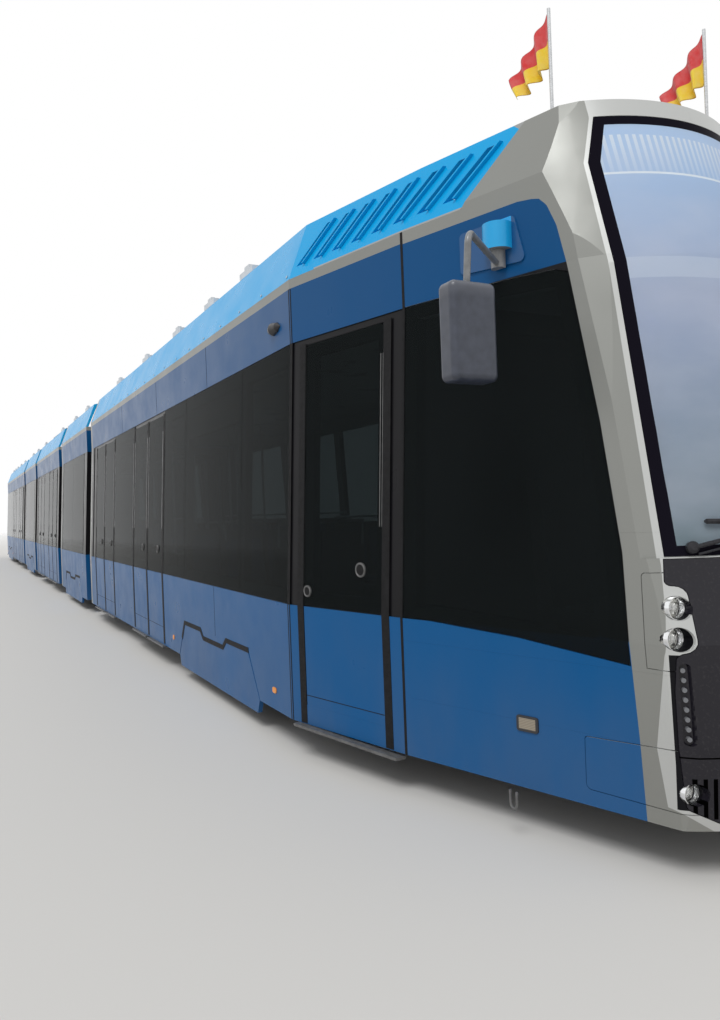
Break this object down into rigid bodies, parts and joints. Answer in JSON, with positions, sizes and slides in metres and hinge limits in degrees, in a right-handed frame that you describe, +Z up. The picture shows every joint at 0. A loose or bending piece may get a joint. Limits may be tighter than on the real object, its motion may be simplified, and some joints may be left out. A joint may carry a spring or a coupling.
{
  "type": "articulated low-floor tram",
  "caption": "Low-floor articulated city tram in blue with silver bands and a dark window band, hinged body sections on bogies, single-arm pantograph.",
  "frame": {"origin": "centre of the train's footprint at the height of the flanges' lowest points", "axes": "+X towards the front cab, +Y to the train's left, +Z up; doors are on the right side (-Y)"},
  "size_m": [32.824, 2.515, 3.655],
  "materials": {
    "body_blue": "gloss",
    "roof_blue": "gloss",
    "silver_grey": "satin",
    "black_gloss": "gloss",
    "tinted_glass": "gloss",
    "dark_underframe": "matte",
    "seat_fabric": "matte",
    "flag_cloth": "matte",
    "lamp_glass": "gloss",
    "roof_grey": "satin",
    "cab_plastic": "matte",
    "mirror_plastic": "satin",
    "bellows_rubber": "matte",
    "bogie_paint": "satin",
    "wheel_steel": "satin",
    "panto_steel": "satin"
  },
  "bodies": {
    "section_a": {"a_shell": "body_blue", "a_floor": "dark_underframe", "a_roof": "roof_blue", "a_glazing": "tinted_glass", "a_doors": "body_blue", "a_seats": "seat_fabric", "a_nose": "silver_grey", "a_mask": "black_gloss", "a_lamps": "lamp_glass", "a_roof_gear": "roof_grey", "a_cab": "cab_plastic", "a_mirrors": "mirror_plastic", "a_flag_poles": "panto_steel", "a_flags": "flag_cloth", "bellows_ab": "bellows_rubber"},
    "section_b": {"b_shell": "body_blue", "b_floor": "dark_underframe", "b_roof": "roof_blue", "b_glazing": "tinted_glass", "b_seats": "seat_fabric", "bellows_bc": "bellows_rubber"},
    "section_c": {"c_shell": "body_blue", "c_floor": "dark_underframe", "c_roof": "roof_blue", "c_glazing": "tinted_glass", "c_seats": "seat_fabric", "c_doors": "body_blue", "panto_base": "bogie_paint", "bellows_cd": "bellows_rubber"},
    "section_d": {"d_shell": "body_blue", "d_floor": "dark_underframe", "d_roof": "roof_blue", "d_glazing": "tinted_glass", "d_seats": "seat_fabric", "bellows_de": "bellows_rubber"},
    "section_e": {"e_shell": "body_blue", "e_floor": "dark_underframe", "e_roof": "roof_blue", "e_glazing": "tinted_glass", "e_doors": "body_blue", "e_seats": "seat_fabric", "e_nose": "silver_grey", "e_mask": "black_gloss", "e_lamps": "lamp_glass", "e_roof_gear": "roof_grey"},
    "bogie_a": {"bogie_a": "bogie_paint"},
    "wheelset_a1": {"wheelset_a1": "wheel_steel"},
    "wheelset_a2": {"wheelset_a2": "wheel_steel"},
    "bogie_b": {"bogie_b": "bogie_paint"},
    "wheelset_b1": {"wheelset_b1": "wheel_steel"},
    "wheelset_b2": {"wheelset_b2": "wheel_steel"},
    "bogie_d": {"bogie_d": "bogie_paint"},
    "wheelset_d1": {"wheelset_d1": "wheel_steel"},
    "wheelset_d2": {"wheelset_d2": "wheel_steel"},
    "bogie_e": {"bogie_e": "bogie_paint"},
    "wheelset_e1": {"wheelset_e1": "wheel_steel"},
    "wheelset_e2": {"wheelset_e2": "wheel_steel"},
    "panto_lower": {"panto_lower": "panto_steel"},
    "panto_upper": {"panto_upper": "panto_steel"},
    "panto_head": {"panto_head": "panto_steel"}
  },
  "joints": [
    {"name": "articulation_ab", "type": "hinge", "parent": "section_a", "child": "section_b", "pos_m": [5.975, 0, 0.25], "axis": [0, 0, 1], "range_deg": [-18, 18], "deforming": ["bellows_ab"]},
    {"name": "articulation_bc", "type": "hinge", "parent": "section_b", "child": "section_c", "pos_m": [2.425, 0, 0.25], "axis": [0, 0, 1], "range_deg": [-18, 18], "deforming": ["bellows_bc"]},
    {"name": "articulation_cd", "type": "hinge", "parent": "section_c", "child": "section_d", "pos_m": [-2.425, 0, 0.25], "axis": [0, 0, 1], "range_deg": [-18, 18], "deforming": ["bellows_cd"]},
    {"name": "articulation_de", "type": "hinge", "parent": "section_d", "child": "section_e", "pos_m": [-5.975, 0, 0.25], "axis": [0, 0, 1], "range_deg": [-18, 18], "deforming": ["bellows_de"]},
    {"name": "bogie_a_turn", "type": "hinge", "parent": "section_a", "child": "bogie_a", "pos_m": [12.3, 0, 0.325], "axis": [0, 0, 1], "range_deg": [-5, 5]},
    {"name": "wheelset_a1_spin", "type": "hinge", "parent": "bogie_a", "child": "wheelset_a1", "pos_m": [13.2, 0, 0.325], "axis": [0, 1, 0], "continuous": true},
    {"name": "wheelset_a2_spin", "type": "hinge", "parent": "bogie_a", "child": "wheelset_a2", "pos_m": [11.4, 0, 0.325], "axis": [0, 1, 0], "continuous": true},
    {"name": "bogie_b_turn", "type": "hinge", "parent": "section_b", "child": "bogie_b", "pos_m": [4.2, 0, 0.325], "axis": [0, 0, 1], "range_deg": [-5, 5]},
    {"name": "wheelset_b1_spin", "type": "hinge", "parent": "bogie_b", "child": "wheelset_b1", "pos_m": [5.1, 0, 0.325], "axis": [0, 1, 0], "continuous": true},
    {"name": "wheelset_b2_spin", "type": "hinge", "parent": "bogie_b", "child": "wheelset_b2", "pos_m": [3.3, 0, 0.325], "axis": [0, 1, 0], "continuous": true},
    {"name": "bogie_d_turn", "type": "hinge", "parent": "section_d", "child": "bogie_d", "pos_m": [-4.2, 0, 0.325], "axis": [0, 0, 1], "range_deg": [-5, 5]},
    {"name": "wheelset_d1_spin", "type": "hinge", "parent": "bogie_d", "child": "wheelset_d1", "pos_m": [-3.3, 0, 0.325], "axis": [0, 1, 0], "continuous": true},
    {"name": "wheelset_d2_spin", "type": "hinge", "parent": "bogie_d", "child": "wheelset_d2", "pos_m": [-5.1, 0, 0.325], "axis": [0, 1, 0], "continuous": true},
    {"name": "bogie_e_turn", "type": "hinge", "parent": "section_e", "child": "bogie_e", "pos_m": [-12.3, 0, 0.325], "axis": [0, 0, 1], "range_deg": [-5, 5]},
    {"name": "wheelset_e1_spin", "type": "hinge", "parent": "bogie_e", "child": "wheelset_e1", "pos_m": [-11.4, 0, 0.325], "axis": [0, 1, 0], "continuous": true},
    {"name": "wheelset_e2_spin", "type": "hinge", "parent": "bogie_e", "child": "wheelset_e2", "pos_m": [-13.2, 0, 0.325], "axis": [0, 1, 0], "continuous": true},
    {"name": "pantograph_raise", "type": "hinge", "parent": "section_c", "child": "panto_lower", "pos_m": [0, 0, 3.035], "axis": [0, 1, 0], "range_deg": [0, 44]},
    {"name": "pantograph_elbow", "type": "hinge", "parent": "panto_lower", "child": "panto_upper", "pos_m": [-1.49178, 0, 3.19179], "axis": [0, 1, 0], "range_deg": [-88, 0]},
    {"name": "pantograph_head_tilt", "type": "hinge", "parent": "panto_upper", "child": "panto_head", "pos_m": [0, 0, 3.34858], "axis": [0, 1, 0], "range_deg": [0, 44]}
  ],
  "couplings": [
    {"joint": "pantograph_elbow", "follows": "pantograph_raise", "ratio": -2},
    {"joint": "pantograph_head_tilt", "follows": "pantograph_raise", "ratio": 1}
  ]
}
